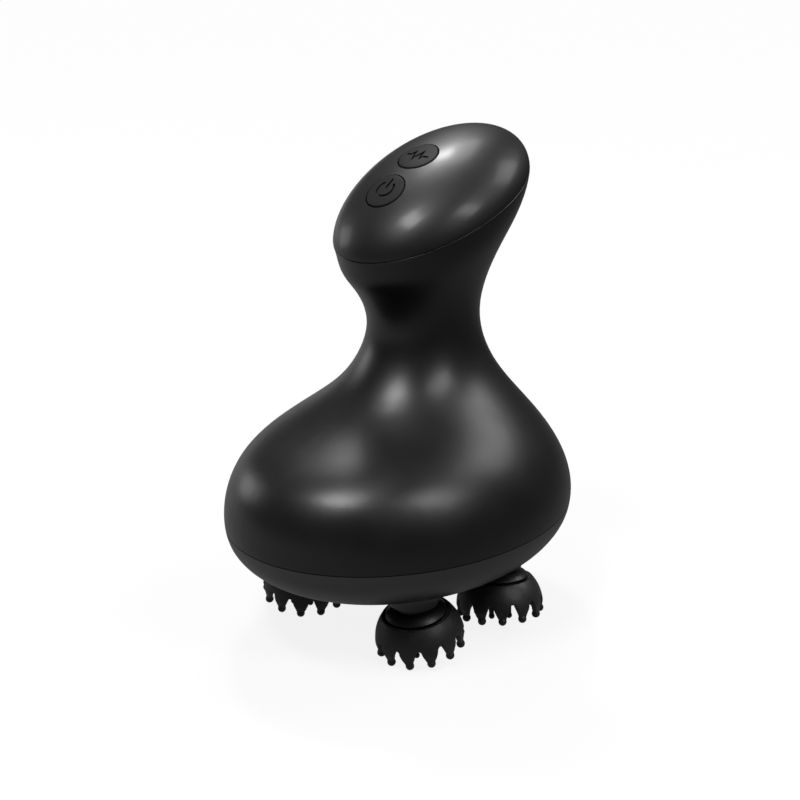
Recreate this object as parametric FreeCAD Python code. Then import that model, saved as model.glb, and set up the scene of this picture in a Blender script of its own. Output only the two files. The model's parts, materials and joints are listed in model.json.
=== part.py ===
import FreeCAD, Part
import math
import os

V = FreeCAD.Vector
UP = V(0, 0, 1)

# Driving dimensions, in millimetres and degrees.
# X is the width, the front faces -Y and the claw tips touch z = 0.
WALL = 2.4
SEAM_GAP = 0.3

# Lower body: a bowl with a superelliptic side, hung under the widest section
WIDE_HALF_WIDTH = 48.7
WIDE_HALF_LENGTH = 60.3
WIDE_Z = 40.3
BOWL_DEPTH = 24.6
BOWL_POWER = 2.36
UNDERSIDE_Z = 16.4
BASE_SEAM_Z = 37.7
BOWL_STEPS = 6

# Upper body sections: half width, half length, centre y, centre z, tilt
BELLY = (43.2, 53.3, -0.1, 58.1, 0.0)
SHOULDER = (30.9, 36.7, 4.1, 71.2, 3.0)
LOW_NECK = (21.1, 25.3, 7.5, 82.0, 6.0)
NECK = (16.6, 18.8, 9.6, 98.0, 10.0)
FLARE = (21.1, 26.6, 10.9, 116.5, 16.0)
RIM_DROP = 5.0

# Cap: an ellipsoid cut by the seam plane
CAP_HALF_WIDTH = 26.3
CAP_HALF_LENGTH = 36.2
CAP_HALF_HEIGHT = 16.5
CAP_Y = 13.1
CAP_Z = 132.8
CAP_TILT = 26.4
CAP_SEAM_TILT = 20.9
CAP_SEAM_RISE = 0.4
LIP_DEPTH = 3.0
LIP_WIDTH = 1.5
LIP_CLEARANCE = 0.35
LIP_ROOT = 0.3
LIP_OVERLAP = 1.0
BASE_LIP_ROOT_DROP = 4.0
CAP_LIP_ROOT_RISE = 2.5
CAP_LIP_ROOT_INSET = 0.8
CAP_ROOM_INSET = 1.6
SEAL_OUTSIDE = 1.0
SEAL_CLEARANCE = 0.1
HOLLOW_OVERRUN = 3.0

# Buttons: both press along one axis, square to the button board.
# Depths are measured from the power button's face.
PRESS_TILT = 31.6
POWER_ALONG = -14.7
BUTTON_PITCH = 16.1
BUTTON_RADIUS = 6.2
BUTTON_GAP = 0.4
BUTTON_RISE = 0.25
BUTTON_REACH = 6.0
FLANGE_RADIUS = 7.3
FLANGE_OVERLAP = 0.5
FLANGE_DEPTH = 4.0
STEM_DEPTH = 5.0
STEM_END = 6.4
STEM_RADIUS = 2.0
SWITCH_TOP = 7.5
SWITCH_SIZE = 6.0
PLUNGER_RADIUS = 1.6
PLUNGER_END = 8.6
PLUNGER_POCKET = 9.6
PLUNGER_GAP = 0.2
BOARD_TOP = 10.7
BOARD_THICKNESS = 1.6
BOARD_HALF_WIDTH = 12.0
BOARD_FRONT = -9.5
BOARD_BACK = 29.5
BOARD_CORNER = 6.0
BOARD_FIXINGS = [(-9.0, 8.0), (9.0, 8.0), (0.0, 26.5)]
FIXING_RADIUS = 2.4
FIXING_HOLE = 0.8
FIXING_HEAD = 1.7
FIXING_HEAD_HEIGHT = 1.1
FIXING_END = 6.0

# Gear train: module, teeth and axes
PRESSURE_ANGLE = 25.0
ADDENDUM = 0.8
DEDENDUM = 1.1
THINNING = 0.13
MODULE = 1.0
FAST_MODULE = 0.6
DRIVE_TEETH = 38
HEAD_TEETH = 24
SMALL_TEETH = 10
WHEEL_TEETH = 68
MOTOR_TEETH = 12
HEAD_X = 24.5
HEAD_PITCH = MODULE * (DRIVE_TEETH + HEAD_TEETH) / 2
HEAD_Y = math.sqrt(HEAD_PITCH ** 2 - HEAD_X ** 2)
REDUCTION_Y = MODULE * (DRIVE_TEETH + SMALL_TEETH) / 2
GEAR_Z = 28.2
GEAR_HEIGHT = 6.0
WHEEL_Z = 38.0
WHEEL_HEIGHT = 3.0
RUNNING = 0.05
END_PLAY = 0.2
WEB_RECESS = 1.6
HEAD_WEB = (6.0, 9.4)
DRIVE_WEB = (6.5, 15.6)
DRIVE_HUB_RADIUS = 5.0
DRIVE_WINDOWS = 6
DRIVE_WINDOW_RING = 11.0
DRIVE_WINDOW_RADIUS = 3.2
WHEEL_NECK_RADIUS = 3.7
WHEEL_WEB = (6.0, 17.5)
WHEEL_RECESS = 1.2
PINION_OVERHANG = 0.4

# Massage heads: side, end and the bearing that each claw leans to
HEADS = {
    "front_right": (1, -1, 79.0),
    "front_left": (-1, -1, 152.0),
    "rear_right": (1, 1, 336.0),
    "rear_left": (-1, 1, 250.0),
}
LEAN = 10.0
FINGERS = 12
INNER_PINS = 8
FIRST_FINGER = 10.0
TIP_DROP = 17.6
TIP_RING = 12.7
TIP_RADIUS = 1.35
FINGER_END = 16.9
FINGER_WIDTH = 1.6
FINGER_OUTSIDE = 13.45
FINGER_INSIDE = 11.95
GAP_TOP = 12.5
GAP_TOP_RADIUS = 0.9
GAP_INSIDE = 9.0
GAP_OUTSIDE = 16.0
GROOVE_FLOOR = 7.4
BELL_LIP = 6.9
BELL_LIP_RADIUS = 9.85
BELL_TOP = 6.55
BELL_TOP_RADIUS = 10.6
BELL_SIDE_RADIUS = 13.1
BELL_SIDE = 10.8
BELL_BULGE_RADIUS = 13.9
BELL_BULGE = 14.8
BELL_SEAT = 9.2
BELL_SEAT_RADIUS = 9.0
BELL_CEILING = 11.2
BELL_CEILING_RADIUS = 11.0
SKIRT_INSIDE = 12.1
PIN_RING = 7.2
PIN_DROP = 17.5
PIN_RADIUS = 0.75
PIN_ROOT_RADIUS = 1.1
PIN_ROOTED = 0.4
PIN_TIP_RADIUS = 1.0
HUB_TOP = 1.0
HUB_NECK_END = 3.8
HUB_NECK_RADIUS = 5.9
HUB_LEDGE = 4.0
HUB_LEDGE_RADIUS = 6.5
HUB_DOME = 4.9
HUB_DOME_RADIUS = 8.35
HUB_RIM = 6.1
HUB_RIM_RADIUS = 9.5
STUB_RADIUS = 3.4
STUB_OVERRUN = 1.5
PIVOT_Z = TIP_DROP * math.cos(math.radians(LEAN)) + TIP_RING * math.sin(math.radians(LEAN)) + TIP_RADIUS

# Spindles, and the collars of the base that carry them
JOURNAL_RADIUS = 4.0
JOURNAL_TOP = 34.4
TOP_PIN_RADIUS = 2.5
TOP_PIN_END = 38.2
RECESS_Z = 18.7
RECESS_RADIUS = 12.4
RECESS_PAD = 2.4
COLLAR_Z = 18.4
COLLAR_RADIUS = 7.8
COLLAR_ROOT_Z = 22.0
COLLAR_ROOT_RADIUS = 9.4
COLLAR_TOP = 27.5
MOUTH_RADIUS = 7.0
WEB_Z = 21.8
SEAT_Z = 22.6
SEAT_RADIUS = 6.6
SEAL_TOP = 24.8
SEAL_RIM = 0.9
SEAL_LIP = 0.8
WEB_CLEARANCE = 0.4
CONTACT_THICKNESS = 0.3
CONTACT_WIDTH = 4.0
CONTACT_GAP = 0.1
CONTACT_REACH = 2.5
CONTACT_BEND = 4.5
CONTACT_FOOT = 9.5

# Gear plate, motor plate and motor
PLATE_Z = 35.0
PLATE_THICKNESS = 2.0
PLATE_HALF_WIDTH = 40.0
PLATE_HALF_LENGTH = 40.5
PLATE_SCREWS = [(-36.5, 0.0), (36.5, 0.0), (0.0, -31.0), (0.0, 34.0)]
PLATE_SCREW_RADIUS = 1.2
PLATE_SCREW_HEAD = 2.6
PLATE_SCREW_HEAD_HEIGHT = 1.4
PLATE_SCREW_END = 26.0
PLATE_BOSS_CLEARANCE = 0.6
PLATE_WHEEL_HOLE = 4.3
PLATE_WINDOW_RADIUS = 3.0
PLATE_WINDOWS = [((12.0, 12.0), (8.0, 16.0)), ((12.0, -8.0), (12.0, -24.0))]
CROSS_DEPTH = 0.7
CROSS_HALF_WIDTH = 0.25
CROSS_REACH = 0.6
PLATE_BOSS_RADIUS = 3.2
DRIVE_AXLE_RADIUS = 2.0
REDUCTION_AXLE_RADIUS = 1.5
AXLE_FOOT_Z = 20.5
AXLE_BOSS_RADIUS = 4.5
AXLE_BOSS_TOP = 27.2
MOTOR_PLATE_Z = 42.2
POSTS = [(-22.0, 2.0), (22.0, 2.0), (0.0, -20.0)]
POST_RADIUS = 2.6
POST_SCREW_RADIUS = 1.1
POST_SCREW_HEAD = 2.2
POST_SCREW_HEAD_HEIGHT = 1.3
POST_BAR_RADIUS = 4.5
AXLE_BAR_RADIUS = 6.0
BOARD_BAR_RADIUS = 4.0
MOTOR_RADIUS = 12.0
MOTOR_HALF_FLAT = 10.2
MOTOR_FLAT_RISE = 3.0
MOTOR_TOP = 69.0
MOTOR_RIM = 1.5
MOTOR_BOSS_RADIUS = 3.0
MOTOR_CAP_RADIUS = 9.6
MOTOR_CAP_HEIGHT = 2.0
MOTOR_BEARING_HEIGHT = 1.2
MOTOR_TAG_X = 6.5
MOTOR_TAG_HALF_WIDTH = 0.9
MOTOR_TAG_HALF_THICKNESS = 0.25
MOTOR_TAG_HEIGHT = 3.0
MOTOR_SHAFT_RADIUS = 1.0
MOTOR_SHAFT_HELD = 7.5
MOTOR_SHAFT_BORE = 8.0
MOTOR_SCREW_X = 8.5
MOTOR_SCREW_RADIUS = 1.0
MOTOR_SCREW_HEAD = 1.9
MOTOR_SCREW_HEAD_HEIGHT = 1.1
MOTOR_SCREW_HELD = 2.2

# Base screws, up through the base into the main shell
BASE_SCREWS = [(-14.0, -36.0), (14.0, -36.0), (-22.0, 38.0), (22.0, 38.0)]
BASE_SCREW_RADIUS = 1.5
BASE_SCREW_HEAD = 2.8
BASE_SCREW_HEAD_HEIGHT = 2.0
BASE_SCREW_SEAT = 27.0
BASE_SCREW_END = 46.0
BASE_SCREW_HOLE_END = 47.0
HEAD_CLEARANCE = 0.4
SHANK_CLEARANCE = 0.2
BASE_BOSS_RADIUS = 4.4
SHELL_BOSS_RADIUS = 3.6
SHELL_BOSS_TOP = 75.0
RIB_THICKNESS = 1.6
RIB_REACH = 18.0
RIB_TOP = 62.0
RIB_RISE = 0.6

# Battery in the neck
CELL_RADIUS = 7.0
CELL_Y = 9.3
CELL_OFFSET = 7.2
CELL_Z = 76.5
CELL_HEIGHT = 43.0
CELL_END_RADIUS = 2.6
CELL_END_HEIGHT = 1.0
CELL_CLEARANCE = 0.1
CRADLE_WALL = 1.0
CRADLE_CLEARANCE = 0.4
CRADLE_FLANGE = 1.6
CRADLE_FLANGE_HEIGHT = 1.5
CRADLE_FLOOR_RIM = 2.0
CRADLE_WINDOW = 3.0
CRADLE_WINDOW_MARGIN = 4.0
CRADLE_Z = 75.0
CRADLE_TOP = 104.0
NECK_WEB_Z = 85.0
NECK_WEB_THICKNESS = 2.0

# Main board and charge port at the back
MAIN_BOARD_Z = 46.4
MAIN_BOARD_HALF_WIDTH = 11.5
MAIN_BOARD_FRONT = 16.0
MAIN_BOARD_BACK = 53.0
MAIN_BOARD_POSTS = [(-9.0, 27.0), (9.0, 27.0)]
CHIPS = [(-6.0, 0.0, 32.0, 38.0, 1.2), (3.0, 7.0, 22.0, 25.0, 1.0), (-3.0, 0.0, 21.0, 26.0, 1.6)]
COIL_X = 6.0
COIL_Y = 34.0
COIL_RADIUS = 3.0
COIL_HEIGHT = 3.0
PORT_Z = 49.6
PORT_WIDTH = 9.0
PORT_HEIGHT = 3.2
PORT_FRONT = 47.6
PORT_BACK = 55.0
PORT_WALL = 0.35
PORT_FLOOR = 1.0
TONGUE_HALF_WIDTH = 3.3
TONGUE_HALF_THICKNESS = 0.35
TONGUE_SETBACK = 1.2
PORT_HOLE_CLEARANCE = 0.3
PLUG_WIDTH = 14.0
PLUG_HEIGHT = 7.5
PLUG_DEPTH = 1.3
PLUG_GAP = 0.3
PLUG_FLOOR_GAP = 0.1
PLUG_TONGUE_GAP = 0.4
PLUG_TONGUE_LENGTH = 2.2
FAR = 200.0


def tilted(y, z, tilt):
    """Placement on the middle plane, turned about X so that its back rises by tilt."""
    return FreeCAD.Placement(V(0, y, z), FreeCAD.Rotation(V(1, 0, 0), tilt))


def fused(shapes):
    """One solid out of overlapping shapes."""
    return shapes[0].multiFuse(shapes[1:]).removeSplitter()


def cylinder(x, y, radius, bottom, top):
    return Part.makeCylinder(radius, top - bottom, V(x, y, bottom))


def tube(x, y, outer, inner, bottom, top):
    return cylinder(x, y, outer, bottom, top).cut(cylinder(x, y, inner, bottom, top))


def box(x_low, x_high, y_low, y_high, z_low, z_high):
    return Part.makeBox(x_high - x_low, y_high - y_low, z_high - z_low, V(x_low, y_low, z_low))


def polygon_face(points):
    return Part.Face(Part.makePolygon(points + points[:1]))


def stadium_face(start, end, radius):
    """Flat slot outline with round ends, in the plane z = 0, around the line from start to end."""
    start, end = V(*start, 0), V(*end, 0)
    along = (end - start).normalize()
    side = along.cross(UP) * radius
    ahead = along * radius
    edges = [
        Part.LineSegment(start + side, end + side).toShape(),
        Part.Arc(end + side, end + ahead, end - side).toShape(),
        Part.LineSegment(end - side, start - side).toShape(),
        Part.Arc(start - side, start - ahead, start + side).toShape(),
    ]
    return Part.Face(Part.Wire(edges))


def stadium(start, end, radius, bottom, top):
    solid = stadium_face(start, end, radius).extrude(V(0, 0, top - bottom))
    return solid.translated(V(0, 0, bottom))


def shrunk(section, inset):
    half_width, half_length, y, z, tilt = section
    return half_width - inset, half_length - inset, y, z, tilt


def section_wire(section):
    half_width, half_length, y, z, tilt = section
    wire = Part.Wire(Part.Ellipse(V(0, half_length, 0), V(-half_width, 0, 0), V(0, 0, 0)).toShape())
    wire.Placement = tilted(y, z, tilt)
    return wire


def section_prism(section, drop, rise):
    """Straight prism over a section's ellipse, from drop under its plane to rise over it."""
    normal = FreeCAD.Rotation(V(1, 0, 0), section[4]).multVec(UP)
    face = Part.Face(section_wire(section))
    return face.translated(normal * -drop).extrude(normal * (drop + rise))


def section_ring(section, outer_inset, inner_inset, drop, rise):
    ring = section_prism(shrunk(section, outer_inset), drop, rise)
    return ring.cut(section_prism(shrunk(section, inner_inset), drop, rise))


def bowl_section(angle, inset):
    """Level section of the bowl, angle 0 at the widest section and 90 at the lowest point."""
    spread = math.cos(math.radians(angle)) ** (2 / BOWL_POWER)
    fall = math.sin(math.radians(angle)) ** (2 / BOWL_POWER)
    half_width = (WIDE_HALF_WIDTH - inset) * spread
    half_length = (WIDE_HALF_LENGTH - inset) * spread
    return half_width, half_length, 0.0, WIDE_Z - (BOWL_DEPTH - inset) * fall, 0.0


def cap_section(drop):
    """Ellipse that a plane, drop under the cap seam, cuts out of the cap's ellipsoid."""
    turn = math.radians(CAP_SEAM_TILT - CAP_TILT)
    height = CAP_SEAM_RISE - drop
    length_power = 1 / CAP_HALF_LENGTH ** 2
    height_power = 1 / CAP_HALF_HEIGHT ** 2
    along, across = -height * math.sin(turn), height * math.cos(turn)
    square = math.cos(turn) ** 2 * length_power + math.sin(turn) ** 2 * height_power
    mixed = along * math.cos(turn) * length_power + across * math.sin(turn) * height_power
    rest = 1 - along ** 2 * length_power - across ** 2 * height_power + mixed ** 2 / square
    centre = tilted(CAP_Y, CAP_Z, CAP_SEAM_TILT).multVec(V(0, -mixed / square, height))
    half_width, half_length = CAP_HALF_WIDTH * math.sqrt(rest), math.sqrt(rest / square)
    return half_width, half_length, centre.y, centre.z, CAP_SEAM_TILT


def body_solid(inset, overrun):
    """Smooth body up to the cap seam, pulled in by inset and run past the seam by overrun."""
    underside = (WIDE_Z - UNDERSIDE_Z) / BOWL_DEPTH
    lowest = math.degrees(math.asin(underside ** (BOWL_POWER / 2)))
    sections = [bowl_section(lowest * (1 - step / BOWL_STEPS), inset) for step in range(BOWL_STEPS + 1)]
    upper = [BELLY, SHOULDER, LOW_NECK, NECK, FLARE, cap_section(RIM_DROP), cap_section(SEAM_GAP / 2)]
    sections += [shrunk(section, inset) for section in upper]
    solid = Part.makeLoft([section_wire(section) for section in sections], True)
    if overrun:
        rim = section_prism(shrunk(upper[-1], inset), overrun, overrun)
        solid = fused([solid, rim])
    return solid


def cap_solid(inset):
    """Whole ellipsoid of the cap, pulled in by inset, with its poles at the two sides and its seam below."""
    matrix = FreeCAD.Matrix()
    matrix.rotateY(math.radians(90))
    matrix.scale(CAP_HALF_WIDTH - inset, CAP_HALF_LENGTH - inset, CAP_HALF_HEIGHT - inset)
    matrix.rotateX(math.radians(CAP_TILT))
    matrix.move(V(0, CAP_Y, CAP_Z))
    return Part.makeSphere(1.0).transformGeometry(matrix)


def slab_over_cap_seam(rise):
    """Everything on the cap's side of the plane that lies rise over the cap seam."""
    slab = box(-FAR, FAR, -FAR, FAR, CAP_SEAM_RISE + rise, FAR)
    slab.Placement = tilted(CAP_Y, CAP_Z, CAP_SEAM_TILT)
    return slab


def power_face():
    """Centre of the power button's face on the cap."""
    rise = CAP_HALF_HEIGHT * math.sqrt(1 - (POWER_ALONG / CAP_HALF_LENGTH) ** 2)
    return tilted(CAP_Y, CAP_Z, CAP_TILT).multVec(V(0, POWER_ALONG, rise))


def set_under_cap(shape, along=0.0):
    """Moves a shape drawn with z = 0 at the button faces to its place, along the row of buttons."""
    face = power_face()
    placed = shape.translated(V(0, along, 0))
    placed.Placement = tilted(face.y, face.z, PRESS_TILT).multiply(placed.Placement)
    return placed


def involute(angle):
    return math.tan(angle) - angle


def gear(module, teeth, bottom, top, turn, x, y):
    """Spur gear with involute flanks and one tooth centred on the bearing turn."""
    pitch = module * teeth / 2
    base = pitch * math.cos(math.radians(PRESSURE_ANGLE))
    tip, root = pitch + ADDENDUM * module, pitch - DEDENDUM * module
    half_tooth = math.pi / (2 * teeth) - THINNING / (2 * pitch) + involute(math.radians(PRESSURE_ANGLE))
    start = max(root, base)

    def flank_point(radius, side, centre):
        angle = centre + side * (half_tooth - involute(math.acos(base / max(radius, base))))
        return V(radius * math.cos(angle), radius * math.sin(angle), bottom)

    edges = []
    first = None
    for tooth in range(teeth):
        centre = math.radians(turn + 360.0 * tooth / teeth)
        low = [flank_point(radius, -1, centre) for radius in (root, start, (start + tip) / 2, tip)]
        high = [flank_point(radius, 1, centre) for radius in (root, start, (start + tip) / 2, tip)]
        if first is None:
            first = low[0]
        else:
            edges.append(Part.LineSegment(last, low[0]).toShape())
        if root < base:
            edges.append(Part.LineSegment(low[0], low[1]).toShape())
        edges.append(Part.Arc(low[1], low[2], low[3]).toShape())
        edges.append(Part.LineSegment(low[3], high[3]).toShape())
        edges.append(Part.Arc(high[3], high[2], high[1]).toShape())
        if root < base:
            edges.append(Part.LineSegment(high[1], high[0]).toShape())
        last = high[0]
    edges.append(Part.LineSegment(last, first).toShape())
    solid = Part.Face(Part.Wire(edges)).extrude(V(0, 0, top - bottom))
    return solid.translated(V(x, y, 0))


def meshed_turn(driver_turn, driver_teeth, teeth, bearing):
    """Turn that puts a gear's tooth spaces over the teeth of the driver, which it meets at a bearing."""
    return bearing + 180 - (driver_turn - bearing) * driver_teeth / teeth - 180.0 / teeth


def gear_recess(x, y, web, bottom, top):
    """Ring-shaped hollows that thin a gear's web from both faces."""
    inner, outer = web
    low = tube(x, y, outer, inner, bottom, bottom + WEB_RECESS)
    return [low, tube(x, y, outer, inner, top - WEB_RECESS, top)]


def head_place(name):
    side, end, lean_bearing = HEADS[name]
    return side * HEAD_X, end * HEAD_Y, lean_bearing


def leaning(shape, name):
    """Puts a claw piece, drawn hanging down from the origin, on its head's leaning axis."""
    x, y, lean_bearing = head_place(name)
    turn = FreeCAD.Rotation(UP, lean_bearing).multiply(FreeCAD.Rotation(V(0, 1, 0), -LEAN))
    placed = shape.copy()
    placed.Placement = FreeCAD.Placement(V(x, y, PIVOT_Z), turn)
    return placed


def hung(radius, drop):
    """Point of a claw's half section: its radius and how far it hangs under the pivot."""
    return V(radius, 0, -drop)


def revolved(edges):
    return Part.Face(Part.Wire(edges)).revolve(V(0, 0, 0), UP, 360)


def line(start, end):
    return Part.LineSegment(start, end).toShape()


def arc(start, middle, end):
    return Part.Arc(start, middle, end).toShape()


def claw_hub():
    """Domed plastic hub between the base and the silicone claw, bored for the spindle's stub."""
    neck_top, neck_end = hung(HUB_NECK_RADIUS, HUB_TOP), hung(HUB_NECK_RADIUS, HUB_NECK_END)
    ledge, dome = hung(HUB_LEDGE_RADIUS, HUB_LEDGE), hung(HUB_DOME_RADIUS, HUB_DOME)
    rim = hung(HUB_RIM_RADIUS, HUB_RIM)
    groove, seat_end = hung(BELL_SEAT_RADIUS, GROOVE_FLOOR), hung(BELL_SEAT_RADIUS, BELL_SEAT)
    bore_end, bore_top = hung(STUB_RADIUS, BELL_SEAT), hung(STUB_RADIUS, HUB_TOP)
    return revolved([
        line(bore_top, neck_top),
        line(neck_top, neck_end),
        line(neck_end, ledge),
        arc(ledge, dome, rim),
        line(rim, groove),
        line(groove, seat_end),
        line(seat_end, bore_end),
        line(bore_end, bore_top),
    ])


def claw_bell_body():
    """Silicone bell with a seat for the hub above its ceiling, a groove around the hub and an open skirt."""
    axis_top, axis_low = hung(0, BELL_SEAT), hung(0, BELL_CEILING)
    seat, groove = hung(BELL_SEAT_RADIUS, BELL_SEAT), hung(BELL_SEAT_RADIUS, GROOVE_FLOOR)
    lip = hung(BELL_LIP_RADIUS, BELL_LIP)
    shoulder, side = hung(BELL_TOP_RADIUS, BELL_TOP), hung(BELL_SIDE_RADIUS, BELL_SIDE)
    bulge, skirt = hung(BELL_BULGE_RADIUS, BELL_BULGE), hung(SKIRT_INSIDE, BELL_BULGE)
    outer_end, inner_end = hung(FINGER_OUTSIDE, FINGER_END), hung(FINGER_INSIDE, FINGER_END)
    corner = hung(BELL_CEILING_RADIUS, BELL_CEILING)
    return revolved([
        line(axis_top, seat),
        line(seat, groove),
        arc(groove, lip, shoulder),
        arc(shoulder, side, bulge),
        line(bulge, outer_end),
        line(outer_end, inner_end),
        line(inner_end, skirt),
        line(skirt, corner),
        line(corner, axis_low),
        line(axis_low, axis_top),
    ])


def finger_gap():
    """Arched space between two fingers, cut outwards through the skirt."""
    pitch = 2 * TIP_RING * math.sin(math.pi / FINGERS)
    half_foot = (pitch - FINGER_WIDTH) / 2
    foot_left, foot_right = V(GAP_INSIDE, -half_foot, -TIP_DROP), V(GAP_INSIDE, half_foot, -TIP_DROP)
    top_left = V(GAP_INSIDE, -GAP_TOP_RADIUS, -GAP_TOP - GAP_TOP_RADIUS)
    top_right = V(GAP_INSIDE, GAP_TOP_RADIUS, -GAP_TOP - GAP_TOP_RADIUS)
    crown = V(GAP_INSIDE, 0, -GAP_TOP)
    outline = [
        line(foot_left, top_left),
        arc(top_left, crown, top_right),
        line(top_right, foot_right),
        line(foot_right, foot_left),
    ]
    return Part.Face(Part.Wire(outline)).extrude(V(GAP_OUTSIDE - GAP_INSIDE, 0, 0))


def around(shape, count, first):
    """Copies of a shape spaced evenly around the Z axis."""
    copies = []
    for index in range(count):
        copy = shape.copy()
        copy.rotate(V(0, 0, 0), UP, first + 360.0 * index / count)
        copies.append(copy)
    return copies


def inner_pin(radius):
    """Short pin under the bell's ceiling, with a ball tip."""
    length = PIN_DROP - BELL_CEILING + PIN_ROOTED
    stem = Part.makeCone(PIN_RADIUS, PIN_ROOT_RADIUS, length, hung(radius, PIN_DROP))
    return stem.fuse(Part.makeSphere(PIN_TIP_RADIUS, hung(radius, PIN_DROP)))


def claw_bell():
    """Claw: a ring of tapered fingers with ball tips around a field of inner pins."""
    skirt = claw_bell_body().cut(around(finger_gap(), FINGERS, FIRST_FINGER + 180.0 / FINGERS))
    tips = around(Part.makeSphere(TIP_RADIUS, hung(TIP_RING, TIP_DROP)), FINGERS, FIRST_FINGER)
    pins = around(inner_pin(PIN_RING), INNER_PINS, 0) + [inner_pin(0)]
    return fused([skirt] + tips + pins)


def spindle(name):
    """Upright journal with a pin on top and a leaning stub below that carries the claw."""
    x, y, _ = head_place(name)
    journal = cylinder(x, y, JOURNAL_RADIUS, PIVOT_Z, JOURNAL_TOP)
    pin = cylinder(x, y, TOP_PIN_RADIUS, JOURNAL_TOP, TOP_PIN_END)
    stub = leaning(Part.makeCylinder(STUB_RADIUS, BELL_SEAT + STUB_OVERRUN, hung(0, BELL_SEAT)), name)
    return fused([journal, pin, stub])


def head_gear(name):
    x, y, _ = head_place(name)
    bearing = math.degrees(math.atan2(y, x))
    turn = meshed_turn(0, DRIVE_TEETH, HEAD_TEETH, bearing)
    top = GEAR_Z + GEAR_HEIGHT
    blank = gear(MODULE, HEAD_TEETH, GEAR_Z, top, turn, x, y)
    bore = cylinder(x, y, JOURNAL_RADIUS, GEAR_Z, top)
    return blank.cut([bore] + gear_recess(x, y, HEAD_WEB, GEAR_Z, top))


def drive_gear():
    top = GEAR_Z + GEAR_HEIGHT
    blank = gear(MODULE, DRIVE_TEETH, GEAR_Z, top, 0, 0, 0)
    hub = cylinder(0, 0, DRIVE_HUB_RADIUS, AXLE_BOSS_TOP + END_PLAY, PLATE_Z - END_PLAY)
    window = cylinder(DRIVE_WINDOW_RING, 0, DRIVE_WINDOW_RADIUS, GEAR_Z, top)
    bore = cylinder(0, 0, DRIVE_AXLE_RADIUS + RUNNING, AXLE_BOSS_TOP, PLATE_Z)
    recess = gear_recess(0, 0, DRIVE_WEB, GEAR_Z, top)
    return fused([blank, hub]).cut(around(window, DRIVE_WINDOWS, 0) + recess + [bore])


def reduction_gear():
    """Compound gear: the small gear drives the drive gear, the wheel is driven by the motor."""
    turn = meshed_turn(0, DRIVE_TEETH, SMALL_TEETH, 90)
    top = WHEEL_Z + WHEEL_HEIGHT
    small = gear(MODULE, SMALL_TEETH, GEAR_Z, GEAR_Z + GEAR_HEIGHT, turn, 0, REDUCTION_Y)
    neck = cylinder(0, REDUCTION_Y, WHEEL_NECK_RADIUS, GEAR_Z + GEAR_HEIGHT / 2, WHEEL_Z + WHEEL_HEIGHT / 2)
    wheel = gear(FAST_MODULE, WHEEL_TEETH, WHEEL_Z, top, 0, 0, REDUCTION_Y)
    web_inside, web_outside = WHEEL_WEB
    recess = tube(0, REDUCTION_Y, web_outside, web_inside, top - WHEEL_RECESS, top)
    bore = cylinder(0, REDUCTION_Y, REDUCTION_AXLE_RADIUS + RUNNING, GEAR_Z, top)
    return fused([small, neck, wheel]).cut([recess, bore])


def motor_pinion():
    turn = meshed_turn(0, WHEEL_TEETH, MOTOR_TEETH, -90)
    low, high = WHEEL_Z - PINION_OVERHANG, WHEEL_Z + WHEEL_HEIGHT + PINION_OVERHANG
    pinion = gear(FAST_MODULE, MOTOR_TEETH, low, high, turn, 0, 0)
    return pinion.cut(cylinder(0, 0, MOTOR_SHAFT_RADIUS, low, high))


def gear_plate():
    """Upper bearing plate of the gear train, on the bosses of the base."""
    top = PLATE_Z + PLATE_THICKNESS
    plate = section_prism((PLATE_HALF_WIDTH, PLATE_HALF_LENGTH, 0, PLATE_Z, 0), 0, PLATE_THICKNESS)
    holes = [cylinder(0, 0, DRIVE_AXLE_RADIUS, PLATE_Z, top)]
    holes.append(cylinder(0, REDUCTION_Y, PLATE_WHEEL_HOLE, PLATE_Z, top))
    for name in HEADS:
        x, y, _ = head_place(name)
        holes.append(cylinder(x, y, TOP_PIN_RADIUS + RUNNING, PLATE_Z, top))
    for x, y in PLATE_SCREWS:
        holes.append(countersunk_screw(x, y))
    for x, y in POSTS:
        holes.append(cylinder(x, y, POST_SCREW_RADIUS, PLATE_Z, top))
    for x, y in BASE_SCREWS:
        holes.append(cylinder(x, y, BASE_BOSS_RADIUS + PLATE_BOSS_CLEARANCE, PLATE_Z, top))
    for (x, y), (far_x, far_y) in PLATE_WINDOWS:
        for side in (-1, 1):
            holes.append(stadium((side * x, y), (side * far_x, far_y), PLATE_WINDOW_RADIUS, PLATE_Z, top))
    return plate.cut(holes)


def countersunk_screw(x, y):
    """Flat-headed screw, flush with the gear plate's top."""
    under = PLATE_Z + PLATE_THICKNESS - PLATE_SCREW_HEAD_HEIGHT
    head = Part.makeCone(PLATE_SCREW_RADIUS, PLATE_SCREW_HEAD, PLATE_SCREW_HEAD_HEIGHT, V(x, y, under))
    return fused([head, cylinder(x, y, PLATE_SCREW_RADIUS, PLATE_SCREW_END, under)])


def cross_recess(x, y, head_radius, low, high):
    """Two crossed slots for the driver, in a screw's head."""
    arm, half = head_radius * CROSS_REACH, CROSS_HALF_WIDTH
    along_x = box(x - arm, x + arm, y - half, y + half, low, high)
    return [along_x, box(x - half, x + half, y - arm, y + arm, low, high)]


def gear_plate_screws():
    top = PLATE_Z + PLATE_THICKNESS
    screws = []
    for x, y in PLATE_SCREWS:
        cross = cross_recess(x, y, PLATE_SCREW_HEAD, top - CROSS_DEPTH, top)
        screws.append(countersunk_screw(x, y).cut(cross))
    return Part.makeCompound(screws)


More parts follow.
